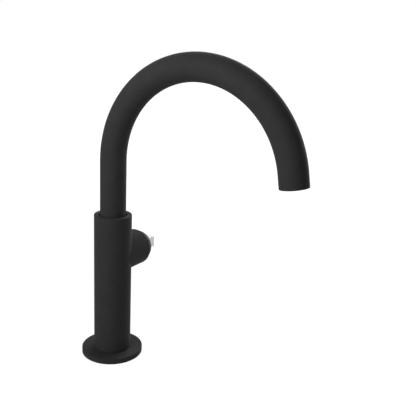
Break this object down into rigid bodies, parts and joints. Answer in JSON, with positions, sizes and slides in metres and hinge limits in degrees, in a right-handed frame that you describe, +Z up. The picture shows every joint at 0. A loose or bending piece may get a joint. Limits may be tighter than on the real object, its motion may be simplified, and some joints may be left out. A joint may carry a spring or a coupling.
{
  "type": "bathroom sink faucet",
  "caption": "Single-hole washbasin mixer: slim column on a round flange, swivelling gooseneck spout and a side ceramic-disc valve with a bare square stem.",
  "frame": {"origin": "centre of the flange underside, where it stands on the deck", "axes": "+Z up along the column, -Y towards the spout outlet, +X along the valve housing"},
  "size_m": [0.0815, 0.202, 0.2695],
  "materials": {
    "matte_black": "matte, fine-textured powder coat on brass",
    "black_steel": "black oxide",
    "rubber": "matt moulded",
    "brass": "machined",
    "copper": "drawn copper tube",
    "steel": "turned and milled",
    "zinc_grey": "satin zinc",
    "ceramic": "lapped alumina",
    "white_plastic": "moulded acetal",
    "grey_plastic": "moulded, glass-filled",
    "dark_plastic": "moulded",
    "red_plastic": "moulded"
  },
  "bodies": {
    "body": {"body_shell": "matte_black", "base_flange": "matte_black", "deck_gasket": "rubber", "base_insert": "brass", "base_o_ring": "rubber", "hot_inlet_tube": "copper", "cold_inlet_tube": "copper", "tube_o_rings": "rubber", "core_lock_ring": "brass", "waterway_core": "brass", "thrust_washer": "white_plastic", "slide_ring": "dark_plastic", "spout_grub_screw": "black_steel", "cartridge_base": "grey_plastic", "cartridge_seals": "rubber", "fixed_disc": "ceramic", "cartridge_casing": "grey_plastic", "stop_ring": "red_plastic", "cartridge_nut": "brass", "bonnet_cap": "matte_black", "bonnet_o_ring": "rubber"},
    "spout": {"spout_tube": "matte_black", "swivel_nipple": "brass", "nipple_o_rings": "rubber", "aerator_housing": "dark_plastic", "aerator_screen": "dark_plastic", "aerator_insert": "white_plastic", "aerator_gasket": "rubber"},
    "turret": {"turret": "white_plastic", "stem_pin": "steel"},
    "stem": {"stem": "steel", "handle_adapter": "zinc_grey"},
    "discs": {"moving_disc": "ceramic", "disc_carrier": "white_plastic"}
  },
  "joints": [
    {"name": "spout_swivel", "type": "hinge", "parent": "body", "child": "spout", "pos_m": [0, 0, 0.1185], "axis": [0, 0, 1], "range_deg": [-60, 60]},
    {"name": "mixing_turn", "type": "hinge", "parent": "body", "child": "turret", "pos_m": [0.02402, 0, 0.0914], "axis": [1, 0, 0], "range_deg": [-50, 50]},
    {"name": "flow_lift", "type": "hinge", "parent": "turret", "child": "stem", "pos_m": [0.02402, 0, 0.0914], "axis": [0, 1, 0], "range_deg": [0, 22]},
    {"name": "disc_slide", "type": "slide", "parent": "turret", "child": "discs", "axis": [0, 0, 1], "range_m": [0, 0.0023]}
  ],
  "couplings": [
    {"joint": "disc_slide", "follows": "flow_lift", "m_per_rad": 0.00595}
  ]
}
